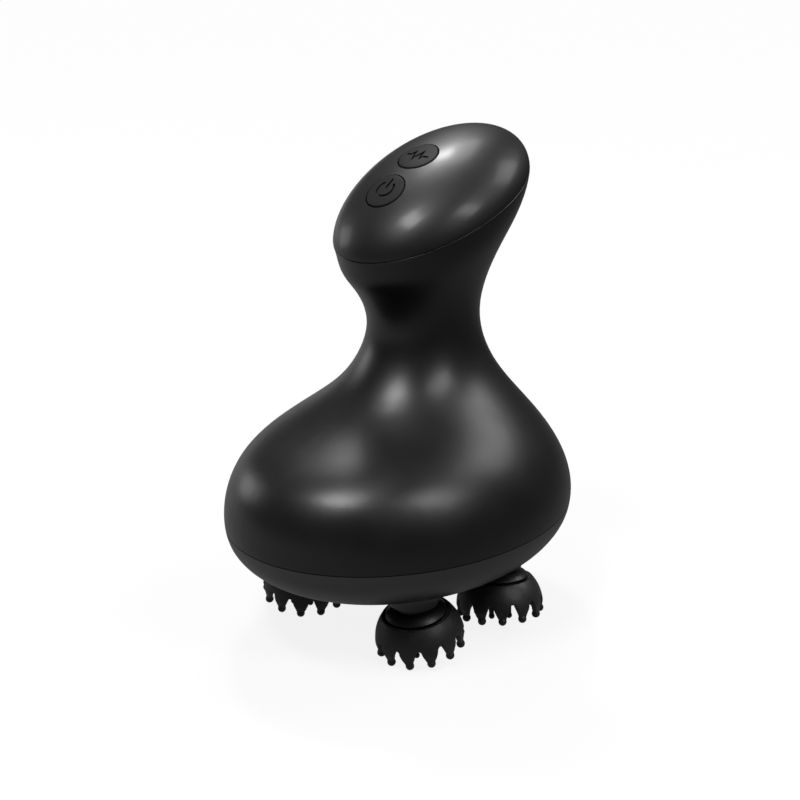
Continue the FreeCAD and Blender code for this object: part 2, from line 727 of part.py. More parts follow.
def pan_screw(x, y, radius, head_radius, head_low, head_high, end):
    """Pan-headed screw with a cross recess; the head lies between two heights, the shank runs to end."""
    head = cylinder(x, y, head_radius, head_low, head_high)
    if end < head_low:
        shank = cylinder(x, y, radius, end, head_low)
        cross = cross_recess(x, y, head_radius, head_high - CROSS_DEPTH, head_high)
    else:
        shank = cylinder(x, y, radius, head_high, end)
        cross = cross_recess(x, y, head_radius, head_low, head_low + CROSS_DEPTH)
    return fused([head, shank]).cut(cross)


def motor_plate():
    """Plate over the wheel that holds the motor and the end of the reduction axle."""
    top = MOTOR_PLATE_Z + PLATE_THICKNESS
    bars = [cylinder(0, 0, MOTOR_RADIUS + MOTOR_RIM, MOTOR_PLATE_Z, top)]
    bars += [stadium((0, 0), post, POST_BAR_RADIUS, MOTOR_PLATE_Z, top) for post in POSTS]
    bars.append(stadium((0, 0), (0, REDUCTION_Y), AXLE_BAR_RADIUS, MOTOR_PLATE_Z, top))
    bars.append(stadium(MAIN_BOARD_POSTS[0], MAIN_BOARD_POSTS[1], BOARD_BAR_RADIUS, MOTOR_PLATE_Z, top))
    holes = [cylinder(0, 0, MOTOR_BOSS_RADIUS, MOTOR_PLATE_Z, top)]
    holes.append(cylinder(0, REDUCTION_Y, REDUCTION_AXLE_RADIUS, MOTOR_PLATE_Z, top))
    holes += [cylinder(x, y, POST_SCREW_RADIUS, MOTOR_PLATE_Z, top) for x, y in POSTS + MAIN_BOARD_POSTS]
    holes += [cylinder(side * MOTOR_SCREW_X, 0, MOTOR_SCREW_RADIUS, MOTOR_PLATE_Z, top) for side in (-1, 1)]
    return fused(bars).cut(holes)


def plate_posts():
    low, high = PLATE_Z + PLATE_THICKNESS, MOTOR_PLATE_Z
    return Part.makeCompound([tube(x, y, POST_RADIUS, POST_SCREW_RADIUS, low, high) for x, y in POSTS])


def motor_plate_screws():
    seat = MOTOR_PLATE_Z + PLATE_THICKNESS
    top = seat + POST_SCREW_HEAD_HEIGHT
    return Part.makeCompound([
        pan_screw(x, y, POST_SCREW_RADIUS, POST_SCREW_HEAD, seat, top, PLATE_Z) for x, y in POSTS])


def motor_can():
    """Flat-sided motor can with its bearing boss, end cap, tags and tapped holes."""
    foot = MOTOR_PLATE_Z + PLATE_THICKNESS
    cap_top = MOTOR_TOP + MOTOR_CAP_HEIGHT
    flat_sided = box(-FAR, FAR, -MOTOR_HALF_FLAT, MOTOR_HALF_FLAT, foot, MOTOR_TOP)
    pieces = [cylinder(0, 0, MOTOR_RADIUS, foot, MOTOR_TOP).common(flat_sided)]
    pieces.append(cylinder(0, 0, MOTOR_RADIUS, foot, foot + MOTOR_FLAT_RISE))
    pieces.append(cylinder(0, 0, MOTOR_BOSS_RADIUS, MOTOR_PLATE_Z + SEAM_GAP, foot))
    pieces.append(cylinder(0, 0, MOTOR_CAP_RADIUS, MOTOR_TOP, cap_top))
    pieces.append(cylinder(0, 0, MOTOR_BOSS_RADIUS, cap_top, cap_top + MOTOR_BEARING_HEIGHT))
    holes = [cylinder(0, 0, MOTOR_SHAFT_RADIUS + RUNNING, MOTOR_PLATE_Z, foot + MOTOR_SHAFT_BORE)]
    for side in (-1, 1):
        left, right = side * MOTOR_TAG_X - MOTOR_TAG_HALF_WIDTH, side * MOTOR_TAG_X + MOTOR_TAG_HALF_WIDTH
        half = MOTOR_TAG_HALF_THICKNESS
        pieces.append(box(left, right, -half, half, MOTOR_TOP, cap_top + MOTOR_TAG_HEIGHT))
        holes.append(cylinder(side * MOTOR_SCREW_X, 0, MOTOR_SCREW_RADIUS, foot, foot + MOTOR_SCREW_HELD))
    return fused(pieces).cut(holes)


def motor_shaft():
    end = MOTOR_PLATE_Z + PLATE_THICKNESS + MOTOR_SHAFT_HELD
    return cylinder(0, 0, MOTOR_SHAFT_RADIUS, WHEEL_Z - PINION_OVERHANG, end)


def motor_screws():
    low, end = MOTOR_PLATE_Z - MOTOR_SCREW_HEAD_HEIGHT, MOTOR_PLATE_Z + PLATE_THICKNESS + MOTOR_SCREW_HELD
    return Part.makeCompound([
        pan_screw(side * MOTOR_SCREW_X, 0, MOTOR_SCREW_RADIUS, MOTOR_SCREW_HEAD, low, MOTOR_PLATE_Z, end)
        for side in (-1, 1)])


def ems_contacts():
    """Sprung strips on the gear plate that touch the spindles' top pins."""
    top = PLATE_Z + PLATE_THICKNESS
    lift = TOP_PIN_END - top + CONTACT_GAP
    high = lift + CONTACT_THICKNESS
    foot, bend, reach, thickness = CONTACT_FOOT, CONTACT_BEND, CONTACT_REACH, CONTACT_THICKNESS
    profile = [V(foot, 0, 0), V(bend, 0, 0), V(reach, 0, lift), V(-reach, 0, lift)]
    profile += [V(-reach, 0, high), V(reach, 0, high), V(bend, 0, thickness), V(foot, 0, thickness)]
    strips = []
    for name in HEADS:
        x, y, _ = head_place(name)
        strip = polygon_face(profile).extrude(V(0, CONTACT_WIDTH, 0)).translated(V(0, -CONTACT_WIDTH / 2, 0))
        if x < 0:
            strip.rotate(V(0, 0, 0), UP, 180)
        strips.append(strip.translated(V(x, y, top)))
    return Part.makeCompound(strips)


def spindle_bushes():
    rings = [head_place(name) for name in HEADS]
    inner = JOURNAL_RADIUS + RUNNING
    return Part.makeCompound([tube(x, y, SEAT_RADIUS, inner, SEAL_TOP, COLLAR_TOP) for x, y, _ in rings])


def shaft_seals():
    """Rubber lip rings under the bushes."""
    rings = []
    for name in HEADS:
        x, y, _ = head_place(name)
        ring = tube(x, y, SEAT_RADIUS, JOURNAL_RADIUS + RUNNING, SEAT_Z, SEAL_TOP)
        groove = tube(x, y, SEAT_RADIUS - SEAL_RIM, JOURNAL_RADIUS + SEAL_LIP, SEAT_Z + SEAL_RIM, SEAL_TOP)
        rings.append(ring.cut(groove))
    return Part.makeCompound(rings)


def base_cover(outer, inner, middle):
    """Bowl that closes the body, with the gear train's bosses and four collared mouths for the heads."""
    top = BASE_SEAM_Z - SEAM_GAP / 2
    below = box(-FAR, FAR, -FAR, FAR, -FAR, top)
    whole = outer.common(below)
    bosses = [cylinder(x, y, PLATE_BOSS_RADIUS, 0, PLATE_Z) for x, y in PLATE_SCREWS]
    bosses += [cylinder(x, y, BASE_BOSS_RADIUS, 0, top) for x, y in BASE_SCREWS]
    bosses += [cylinder(0, y, AXLE_BOSS_RADIUS, 0, AXLE_BOSS_TOP) for y in (0, REDUCTION_Y)]
    room = middle.common(below)
    bosses = [boss.common(room) for boss in bosses]
    wide = (WIDE_HALF_WIDTH, WIDE_HALF_LENGTH, 0, BASE_SEAM_Z, 0)
    lip_inset = WALL + LIP_CLEARANCE
    lip_end = lip_inset + LIP_WIDTH
    bosses.append(section_ring(wide, WALL - LIP_ROOT, lip_end, BASE_LIP_ROOT_DROP, -SEAM_GAP / 2))
    bosses.append(section_ring(wide, lip_inset, lip_end, LIP_OVERLAP, LIP_DEPTH))
    pads, recesses, holes = [], [], []
    for name in HEADS:
        x, y, _ = head_place(name)
        pad = cylinder(x, y, RECESS_RADIUS + RECESS_PAD / 2, 0, RECESS_Z + RECESS_PAD)
        pads.append(pad.common(room))
        recesses.append(cylinder(x, y, RECESS_RADIUS, 0, RECESS_Z))
        height = COLLAR_ROOT_Z - COLLAR_Z
        bosses.append(Part.makeCone(COLLAR_RADIUS, COLLAR_ROOT_RADIUS, height, V(x, y, COLLAR_Z)))
        bosses.append(cylinder(x, y, COLLAR_ROOT_RADIUS, COLLAR_ROOT_Z, COLLAR_TOP))
        holes.append(cylinder(x, y, MOUTH_RADIUS, 0, WEB_Z))
        holes.append(cylinder(x, y, JOURNAL_RADIUS + WEB_CLEARANCE, 0, SEAT_Z))
        holes.append(cylinder(x, y, SEAT_RADIUS, SEAT_Z, COLLAR_TOP))
    holes += [cylinder(x, y, PLATE_SCREW_RADIUS, PLATE_SCREW_END, PLATE_Z) for x, y in PLATE_SCREWS]
    holes.append(cylinder(0, 0, DRIVE_AXLE_RADIUS, AXLE_FOOT_Z, AXLE_BOSS_TOP))
    holes.append(cylinder(0, REDUCTION_Y, REDUCTION_AXLE_RADIUS, AXLE_FOOT_Z, AXLE_BOSS_TOP))
    for x, y in BASE_SCREWS:
        holes.append(cylinder(x, y, BASE_SCREW_HEAD + HEAD_CLEARANCE, 0, BASE_SCREW_SEAT))
        holes.append(cylinder(x, y, BASE_SCREW_RADIUS + SHANK_CLEARANCE, 0, FAR))
    bowl = fused([whole.cut(inner)] + pads).cut(recesses)
    return fused([bowl] + bosses).cut(holes)


def base_screws():
    low = BASE_SCREW_SEAT - BASE_SCREW_HEAD_HEIGHT
    return Part.makeCompound([
        pan_screw(x, y, BASE_SCREW_RADIUS, BASE_SCREW_HEAD, low, BASE_SCREW_SEAT, BASE_SCREW_END)
        for x, y in BASE_SCREWS])


def slot_prism(width, height, clearance, front, back):
    """Level slot-shaped prism at the charge port, from front to back along Y."""
    half = (width - height) / 2
    slot = stadium((-half, 0), (half, 0), height / 2 + clearance, 0, back - front)
    slot.rotate(V(0, 0, 0), V(1, 0, 0), -90)
    return slot.translated(V(0, front, PORT_Z))


def plug_outline(clearance, front, back):
    return slot_prism(PLUG_WIDTH, PLUG_HEIGHT, clearance, front, back)


def port_slot(clearance, front, back):
    return slot_prism(PORT_WIDTH, PORT_HEIGHT, clearance, front, back)


def main_shell(outer, inner, middle):
    """One-piece body and neck, open at the base and at the cap."""
    low = BASE_SEAM_Z + SEAM_GAP / 2
    above = box(-FAR, FAR, -FAR, FAR, low, FAR)
    shell = outer.common(above).cut(inner)
    room = middle.common(above)
    inside = []
    for x, y in BASE_SCREWS:
        reach = V(x, y, 0).normalize() * RIB_REACH
        rib_low = BASE_SEAM_Z + LIP_DEPTH + RIB_RISE
        rib = stadium((x, y), (x + reach.x, y + reach.y), RIB_THICKNESS / 2, rib_low, RIB_TOP)
        inside += [cylinder(x, y, SHELL_BOSS_RADIUS, low, SHELL_BOSS_TOP), rib]
    web_top = NECK_WEB_Z + NECK_WEB_THICKNESS
    room_radius = CELL_RADIUS + CRADLE_WALL + CRADLE_CLEARANCE
    front, back = (0, CELL_Y - CELL_OFFSET), (0, CELL_Y + CELL_OFFSET)
    cell_room = stadium(front, back, room_radius, NECK_WEB_Z, web_top)
    web = box(-FAR, FAR, -FAR, FAR, NECK_WEB_Z, web_top)
    inside.append(web.cut(cell_room))
    inside = [piece.common(room) for piece in inside]
    holes = [cylinder(x, y, BASE_SCREW_RADIUS, low, BASE_SCREW_HOLE_END) for x, y in BASE_SCREWS]
    pocket = plug_outline(0, 0, FAR).cut(body_solid(PLUG_DEPTH, 0))
    holes += [pocket, port_slot(PORT_HOLE_CLEARANCE, PORT_FRONT, FAR)]
    return fused([shell] + inside).cut(holes)


def port_plug(outer):
    """Soft plug that closes the charge port, flush with the back of the body."""
    face = plug_outline(-PLUG_GAP, 0, FAR).common(outer).cut(body_solid(PLUG_DEPTH - PLUG_FLOOR_GAP, 0))
    front = PORT_BACK + PLUG_TONGUE_GAP
    tongue = port_slot(-PLUG_GAP, front, front + PLUG_TONGUE_LENGTH)
    return fused([face, tongue])


def base_seal():
    section = (WIDE_HALF_WIDTH, WIDE_HALF_LENGTH, 0, BASE_SEAM_Z, 0)
    return section_ring(section, SEAL_OUTSIDE, WALL - SEAL_CLEARANCE, SEAM_GAP / 2, SEAM_GAP / 2)


def cap_seal():
    return section_ring(cap_section(0), SEAL_OUTSIDE, WALL - SEAL_CLEARANCE, SEAM_GAP / 2, SEAM_GAP / 2)


def top_cap():
    """Domed cap with two button holes, a lip into the neck and bosses for the button board."""
    shell = cap_solid(0).cut(cap_solid(WALL)).common(slab_over_cap_seam(SEAM_GAP / 2))
    seam = cap_section(0)
    lip_inset = WALL + LIP_CLEARANCE
    collar = section_ring(seam, CAP_LIP_ROOT_INSET, lip_inset + LIP_WIDTH, -SEAM_GAP / 2, CAP_LIP_ROOT_RISE)
    lip = section_ring(seam, lip_inset, lip_inset + LIP_WIDTH, LIP_DEPTH, LIP_OVERLAP)
    room = cap_solid(CAP_ROOM_INSET)
    hole = cylinder(0, 0, BUTTON_RADIUS + BUTTON_GAP, -FLANGE_DEPTH, BUTTON_REACH)
    holes = [set_under_cap(hole, along) for along in (0, BUTTON_PITCH)]
    bosses = []
    for x, along in BOARD_FIXINGS:
        boss = set_under_cap(cylinder(x, along, FIXING_RADIUS, -BOARD_TOP, BUTTON_REACH))
        bosses.append(boss.common(room))
        holes.append(set_under_cap(cylinder(x, along, FIXING_HOLE, -BOARD_TOP, -STEM_DEPTH)))
    return fused([shell, collar.common(room), lip] + bosses).cut(holes)


def button(along):
    """Button a little proud of the cap's dome, with a flange that keeps it in and a stem to its switch."""
    column = cylinder(0, 0, BUTTON_RADIUS, -FLANGE_DEPTH - FLANGE_OVERLAP, BUTTON_REACH)
    face = set_under_cap(column, along).common(cap_solid(-BUTTON_RISE))
    flange = set_under_cap(cylinder(0, 0, FLANGE_RADIUS, -STEM_DEPTH, -FLANGE_DEPTH), along)
    stem = set_under_cap(cylinder(0, 0, STEM_RADIUS, -STEM_END, -STEM_DEPTH), along)
    return fused([face, flange, stem])


def switch_plunger(along):
    return set_under_cap(cylinder(0, 0, PLUNGER_RADIUS, -PLUNGER_END, -STEM_END), along)


def switch_bodies():
    half = SWITCH_SIZE / 2
    body = box(-half, half, -half, half, -BOARD_TOP, -SWITCH_TOP)
    body = body.cut(cylinder(0, 0, PLUNGER_RADIUS + PLUNGER_GAP, -PLUNGER_POCKET, -SWITCH_TOP))
    return Part.makeCompound([set_under_cap(body, along) for along in (0, BUTTON_PITCH)])


def button_board():
    low, high = -BOARD_TOP - BOARD_THICKNESS, -BOARD_TOP
    board = box(-BOARD_HALF_WIDTH, BOARD_HALF_WIDTH, BOARD_FRONT, BOARD_BACK, low, high)
    uprights = [edge for edge in board.Edges if abs(edge.tangentAt(edge.FirstParameter).z) > 0.9]
    board = board.makeFillet(BOARD_CORNER, uprights)
    holes = [cylinder(x, along, FIXING_HOLE, low, high) for x, along in BOARD_FIXINGS]
    return set_under_cap(board.cut(holes))


def board_screws():
    seat = -BOARD_TOP - BOARD_THICKNESS
    low = seat - FIXING_HEAD_HEIGHT
    return Part.makeCompound([
        set_under_cap(pan_screw(x, along, FIXING_HOLE, FIXING_HEAD, low, seat, -FIXING_END))
        for x, along in BOARD_FIXINGS])


def battery_cells():
    """Two round cells side by side, each with its raised end."""
    cells = []
    for side in (-1, 1):
        y = CELL_Y + side * CELL_OFFSET
        top = CELL_Z + CELL_HEIGHT
        shoulder = top - CELL_END_HEIGHT
        can = cylinder(0, y, CELL_RADIUS, CELL_Z, shoulder)
        cells.append(fused([can, cylinder(0, y, CELL_END_RADIUS, shoulder, top)]))
    return Part.makeCompound(cells)


def battery_cradle():
    """Sleeve around the cells that hangs by its flange on the web inside the neck."""
    start, end = (0, CELL_Y - CELL_OFFSET), (0, CELL_Y + CELL_OFFSET)
    inner, outer = CELL_RADIUS + CELL_CLEARANCE, CELL_RADIUS + CRADLE_WALL
    seat = NECK_WEB_Z + NECK_WEB_THICKNESS
    flange = stadium(start, end, outer + CRADLE_FLANGE, seat, seat + CRADLE_FLANGE_HEIGHT)
    sleeve = fused([stadium(start, end, outer, CRADLE_Z, CRADLE_TOP), flange])
    hollow = stadium(start, end, inner, CELL_Z, CRADLE_TOP)
    floor_hole = stadium(start, end, inner - CRADLE_FLOOR_RIM, CRADLE_Z, CELL_Z)
    low, high = seat + CRADLE_WINDOW_MARGIN, CRADLE_TOP - CRADLE_WINDOW_MARGIN
    window = box(-FAR, FAR, CELL_Y - CRADLE_WINDOW, CELL_Y + CRADLE_WINDOW, low, high)
    return sleeve.cut([hollow, floor_hole, window])


def main_board():
    high = MAIN_BOARD_Z + BOARD_THICKNESS
    half_width = MAIN_BOARD_HALF_WIDTH
    board = box(-half_width, half_width, MAIN_BOARD_FRONT, MAIN_BOARD_BACK, MAIN_BOARD_Z, high)
    chips = [box(left, right, front, back, high, high + rise) for left, right, front, back, rise in CHIPS]
    coil = cylinder(COIL_X, COIL_Y, COIL_RADIUS, high, high + COIL_HEIGHT)
    holes = [cylinder(x, y, POST_SCREW_RADIUS, MAIN_BOARD_Z, high) for x, y in MAIN_BOARD_POSTS]
    return fused([board, coil] + chips).cut(holes)


def main_board_posts():
    low = MOTOR_PLATE_Z + PLATE_THICKNESS
    return Part.makeCompound([
        tube(x, y, POST_RADIUS, POST_SCREW_RADIUS, low, MAIN_BOARD_Z) for x, y in MAIN_BOARD_POSTS])


def main_board_screws():
    seat = MAIN_BOARD_Z + BOARD_THICKNESS
    top = seat + POST_SCREW_HEAD_HEIGHT
    return Part.makeCompound([
        pan_screw(x, y, POST_SCREW_RADIUS, POST_SCREW_HEAD, seat, top, MOTOR_PLATE_Z)
        for x, y in MAIN_BOARD_POSTS])


def charge_port():
    """Oval charging socket on the main board, with its contact tongue."""
    hollow = port_slot(-PORT_WALL, PORT_FRONT + PORT_FLOOR, PORT_BACK)
    shell = port_slot(0, PORT_FRONT, PORT_BACK).cut(hollow)
    half, tip = TONGUE_HALF_THICKNESS, PORT_BACK - TONGUE_SETBACK
    tongue = box(-TONGUE_HALF_WIDTH, TONGUE_HALF_WIDTH, PORT_FRONT, tip, PORT_Z - half, PORT_Z + half)
    return fused([shell, tongue])


def axles():
    drive = cylinder(0, 0, DRIVE_AXLE_RADIUS, AXLE_FOOT_Z, PLATE_Z + PLATE_THICKNESS)
    reduction = cylinder(0, REDUCTION_Y, REDUCTION_AXLE_RADIUS, AXLE_FOOT_Z, MOTOR_PLATE_Z + PLATE_THICKNESS)
    return {"drive_axle": drive, "reduction_axle": reduction}


def heads():
    hub, bell = claw_hub(), claw_bell()
    pieces = {}
    for name in HEADS:
        pieces["head_gear_" + name] = head_gear(name)
        pieces["spindle_" + name] = spindle(name)
        pieces["claw_hub_" + name] = leaning(hub, name)
        pieces["claw_" + name] = leaning(bell, name)
    return pieces


def massager():
    outer = body_solid(0, 0)
    inner = body_solid(WALL, HOLLOW_OVERRUN)
    middle = body_solid(WALL / 2, 0)
    pieces = {
        "main_shell": main_shell(outer, inner, middle),
        "base_cover": base_cover(outer, inner, middle),
        "top_cap": top_cap(),
        "cap_seal": cap_seal(),
        "base_seal": base_seal(),
        "power_button": button(0),
        "ems_button": button(BUTTON_PITCH),
        "power_switch_plunger": switch_plunger(0),
        "ems_switch_plunger": switch_plunger(BUTTON_PITCH),
        "switch_bodies": switch_bodies(),
        "button_board": button_board(),
        "button_board_screws": board_screws(),
        "battery_cells": battery_cells(),
        "battery_cradle": battery_cradle(),
        "main_board": main_board(),
        "main_board_posts": main_board_posts(),
        "main_board_screws": main_board_screws(),
        "charge_port": charge_port(),
        "port_plug": port_plug(outer),
        "motor_can": motor_can(),
        "motor_shaft": motor_shaft(),
        "motor_pinion": motor_pinion(),
        "motor_plate": motor_plate(),
        "motor_screws": motor_screws(),
        "motor_plate_screws": motor_plate_screws(),
        "plate_posts": plate_posts(),
        "gear_plate": gear_plate(),
        "gear_plate_screws": gear_plate_screws(),
        "drive_gear": drive_gear(),
        "reduction_gear": reduction_gear(),
        "spindle_bushes": spindle_bushes(),
        "shaft_seals": shaft_seals(),
        "ems_contacts": ems_contacts(),
        "base_screws": base_screws(),
    }
    pieces.update(axles())
    pieces.update(heads())
    return pieces


def main():
    os.makedirs("parts", exist_ok=True)
    for name, shape in massager().items():
        shape.exportStep("parts/" + name + ".step")


main()
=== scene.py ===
import bmesh
import bpy
import json
import math
from mathutils import Matrix, Vector


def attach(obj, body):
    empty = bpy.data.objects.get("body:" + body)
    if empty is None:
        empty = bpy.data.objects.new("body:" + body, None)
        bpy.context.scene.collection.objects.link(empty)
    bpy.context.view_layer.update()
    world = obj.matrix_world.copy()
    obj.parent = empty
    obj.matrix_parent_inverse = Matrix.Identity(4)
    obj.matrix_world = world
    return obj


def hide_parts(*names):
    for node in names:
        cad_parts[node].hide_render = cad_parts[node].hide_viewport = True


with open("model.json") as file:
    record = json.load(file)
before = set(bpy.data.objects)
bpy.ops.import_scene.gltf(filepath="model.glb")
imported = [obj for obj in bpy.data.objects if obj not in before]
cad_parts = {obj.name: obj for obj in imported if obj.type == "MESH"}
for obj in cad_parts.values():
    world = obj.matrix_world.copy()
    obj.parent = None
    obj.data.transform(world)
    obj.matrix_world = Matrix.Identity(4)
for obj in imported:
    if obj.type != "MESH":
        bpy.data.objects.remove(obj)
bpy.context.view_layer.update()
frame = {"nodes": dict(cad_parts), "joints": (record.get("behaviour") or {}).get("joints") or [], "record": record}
nodes = frame["nodes"]
scene = bpy.context.scene

# What the record says of each node and of the way that the buttons move
SLOT_OF = {part["node"]: part["material_slot"] for part in frame["record"]["subparts"]}
BODIES = frame["record"]["behaviour"]["bodies"]
BODY_OF = {node: body for body, members in BODIES.items() for node in members}
PRESS = next(joint for joint in frame["joints"] if joint["name"] == "power_button_press")

# Lengths are drawn in millimetres and brought to metres when a piece is finished
MILLIMETRE = 0.001

# Corners closer than this, in metres, are one corner; edges that bend more than this stay crisp
MERGE_DISTANCE = 0.000001
SHARP = math.radians(30)

# Most of a cloudy pattern's values lie between these
CLOUDY = (0.3, 0.7)


def map_range(tree, value, start, end):
    """Value brought from one range to another."""
    node = tree.nodes.new("ShaderNodeMapRange")
    for key, limit in zip(("From Min", "From Max", "To Min", "To Max"), (*start, *end)):
        node.inputs[key].default_value = limit
    tree.links.new(value, node.inputs["Value"])
    return node.outputs["Result"]


def shade(colour, factor):
    return tuple(value * factor for value in colour)


class Finish:
    """Node material that is wired up step by step around one shader."""

    def __init__(self, name):
        self.material = bpy.data.materials.new(name)
        self.material.use_nodes = True
        self.tree = self.material.node_tree
        self.shader = self.tree.nodes["Principled BSDF"]
        self.place = self.add("ShaderNodeTexCoord").outputs["Object"]

    def add(self, kind):
        return self.tree.nodes.new(kind)

    def link(self, start, end):
        self.tree.links.new(start, end)

    def set(self, **values):
        for key, value in values.items():
            self.shader.inputs[key.replace("_", " ")].default_value = value

    def noise(self, size, detail):
        """Cloudy pattern with spots of about size metres."""
        node = self.add("ShaderNodeTexNoise")
        node.inputs["Scale"].default_value = 1.0 / size
        node.inputs["Detail"].default_value = detail
        self.link(self.place, node.inputs["Vector"])
        return node.outputs["Fac"]

    def tint(self, pattern, colour, darkest, lightest):
        """Colour that wanders between two of its shades."""
        node = self.add("ShaderNodeValToRGB")
        for element, place, factor in zip(node.color_ramp.elements, CLOUDY, (darkest, lightest)):
            element.position = place
            element.color = (*shade(colour, factor), 1)
        self.link(pattern, node.inputs["Fac"])
        self.link(node.outputs["Color"], self.shader.inputs["Base Color"])

    def gloss(self, pattern, roughness, spread):
        """Roughness that wanders about its middle value."""
        wander = map_range(self.tree, pattern, CLOUDY, (roughness - spread, roughness + spread))
        self.link(wander, self.shader.inputs["Roughness"])

    def relief(self, *layers):
        """Bump from patterns, each with its depth in metres, from the coarsest to the finest."""
        normal = None
        for pattern, depth in layers:
            bump = self.add("ShaderNodeBump")
            bump.inputs["Distance"].default_value = depth
            self.link(pattern, bump.inputs["Height"])
            if normal:
                self.link(normal, bump.inputs["Normal"])
            normal = bump.outputs["Normal"]
        self.link(normal, self.shader.inputs["Normal"])


def moulded_plastic(name, colour, roughness, spark=0.00022, **settings):
    """Satin moulded plastic: fine spark-eroded grain, slow waves of the mould, uneven gloss."""
    finish = Finish(name)
    finish.tint(finish.noise(size=0.03, detail=3), colour, darkest=0.88, lightest=1.12)
    finish.gloss(finish.noise(size=0.012, detail=4), roughness, spread=0.025)
    wave = finish.noise(size=0.05, detail=1)
    grain = finish.noise(size=spark, detail=1)
    finish.relief((wave, 0.00001), (grain, 0.0000025))
    finish.set(**settings)
    return finish.material


def silicone(name, colour, roughness):
    """Soft silicone or rubber: matt, with a dusty bloom and a faint skin texture."""
    finish = Finish(name)
    finish.tint(finish.noise(size=0.004, detail=4), colour, darkest=0.8, lightest=1.25)
    finish.gloss(finish.noise(size=0.002, detail=3), roughness, spread=0.05)
    skin = finish.noise(size=0.0007, detail=2)
    grain = finish.noise(size=0.00015, detail=1)
    finish.relief((skin, 0.00001), (grain, 0.000003))
    finish.set(Sheen_Weight=0.08, Sheen_Roughness=0.5)
    return finish.material


def turned_metal(name, colour, roughness):
    """Turned or drawn metal with fine uneven gloss."""
    finish = Finish(name)
    finish.tint(finish.noise(size=0.002, detail=4), colour, darkest=0.9, lightest=1.06)
    finish.gloss(finish.noise(size=0.0006, detail=3), roughness, spread=0.06)
    finish.relief((finish.noise(size=0.0003, detail=1), 0.000002))
    finish.set(Metallic=1.0)
    return finish.material


def coated_board(name, colour, roughness):
    """Lacquered circuit board with a faint weave showing through."""
    finish = Finish(name)
    finish.tint(finish.noise(size=0.0008, detail=2), colour, darkest=0.8, lightest=1.2)
    finish.gloss(finish.noise(size=0.002, detail=2), roughness, spread=0.06)
    finish.relief((finish.noise(size=0.0004, detail=1), 0.000004))
    return finish.material


BLACK = (0.0042, 0.0042, 0.0044)
FINISHES = {
    "shell_black": moulded_plastic("satin_black_shell", BLACK, 0.37),
    "base_black": moulded_plastic("satin_black_base", shade(BLACK, 3.2), 0.44, Specular_IOR_Level=0.9),
    "button_black": moulded_plastic("matt_black_button", shade(BLACK, 3.6), 0.54, spark=0.00016,
                                    Specular_IOR_Level=0.1),
    "hub_black": moulded_plastic("black_claw_hub", shade(BLACK, 0.8), 0.42),
    "claw_silicone": silicone("black_claw_silicone", shade(BLACK, 0.9), 0.50),
    "seal_rubber": silicone("black_seal_rubber", shade(BLACK, 0.8), 0.60),
    "gear_nylon": moulded_plastic("natural_nylon", (0.72, 0.70, 0.63), 0.42),
    "frame_plastic": moulded_plastic("grey_frame_plastic", (0.09, 0.09, 0.095), 0.45),
    "switch_plastic": moulded_plastic("dark_switch_plastic", (0.03, 0.03, 0.033), 0.40),
    "cell_wrap": moulded_plastic("blue_cell_wrap", (0.03, 0.13, 0.36), 0.28),
    "steel": turned_metal("turned_steel", (0.56, 0.57, 0.58), 0.30),
    "screw_steel": turned_metal("plated_screw_steel", (0.45, 0.45, 0.46), 0.34),
    "bush_brass": turned_metal("sintered_brass", (0.70, 0.50, 0.22), 0.42),
    "contact_copper": turned_metal("copper_strip", (0.76, 0.40, 0.22), 0.30),
    "board_green": coated_board("green_board", (0.015, 0.13, 0.05), 0.28),
}

# The cap is a little greyer than the body, with a thin lacquer that keeps its highlights narrow
CAP_FINISH = moulded_plastic("satin_black_cap", shade(BLACK, 1.6), 0.46,
                             Specular_IOR_Level=0.35, Coat_Weight=0.2, Coat_Roughness=0.2)

for name, node in nodes.items():
    node.data.materials.clear()
    node.data.materials.append(CAP_FINISH if name == "top_cap" else FINISHES[SLOT_OF[name]])


# Reshaped copies of solids
def merged_copy(node_name):
    """Skin of a solid in one piece, to be reshaped."""
    bm = bmesh.new()
    bm.from_mesh(nodes[node_name].data)
    bmesh.ops.remove_doubles(bm, verts=bm.verts[:], dist=MERGE_DISTANCE)
    return bm


def round_edges(bm, edges, radius, segments):
    """Edges rounded to a radius in millimetres; the rest stay crisp where they are sharp."""
    bmesh.ops.bevel(bm, geom=edges, offset=radius * MILLIMETRE, affect="EDGES", segments=segments,
                    profile=0.5, material=-1)
    for edge in bm.edges:
        edge.smooth = edge.calc_face_angle(0.0) < SHARP


def new_piece(name, bm, slot):
    """Object from a finished skin, with the finish of its slot."""
    mesh = bpy.data.meshes.new(name)
    bm.to_mesh(mesh)
    bm.free()
    mesh.materials.append(FINISHES[slot])
    piece = bpy.data.objects.new(name, mesh)
    scene.collection.objects.link(piece)
    return piece


def apply_modifiers(piece):
    """What the modifiers make of a piece becomes its own mesh."""
    made = piece.evaluated_get(bpy.context.evaluated_depsgraph_get())
    piece.data = bpy.data.meshes.new_from_object(made)
    piece.modifiers.clear()


# Buttons: the power button's face, and the other one higher up the cap
PRESS_AXIS = -Vector(PRESS["axis"])
POWER_FACE = Vector((0, -6.77, 139.77))
BUTTON_PITCH = 16.1
BUTTON_REACH = 20.0
BUTTON_RADIUS = 6.2
RIM_SLACK = 0.1
RIM_DEPTH = 3.0
RIM_ROUND = 0.25
RIM_SEGMENTS = 4

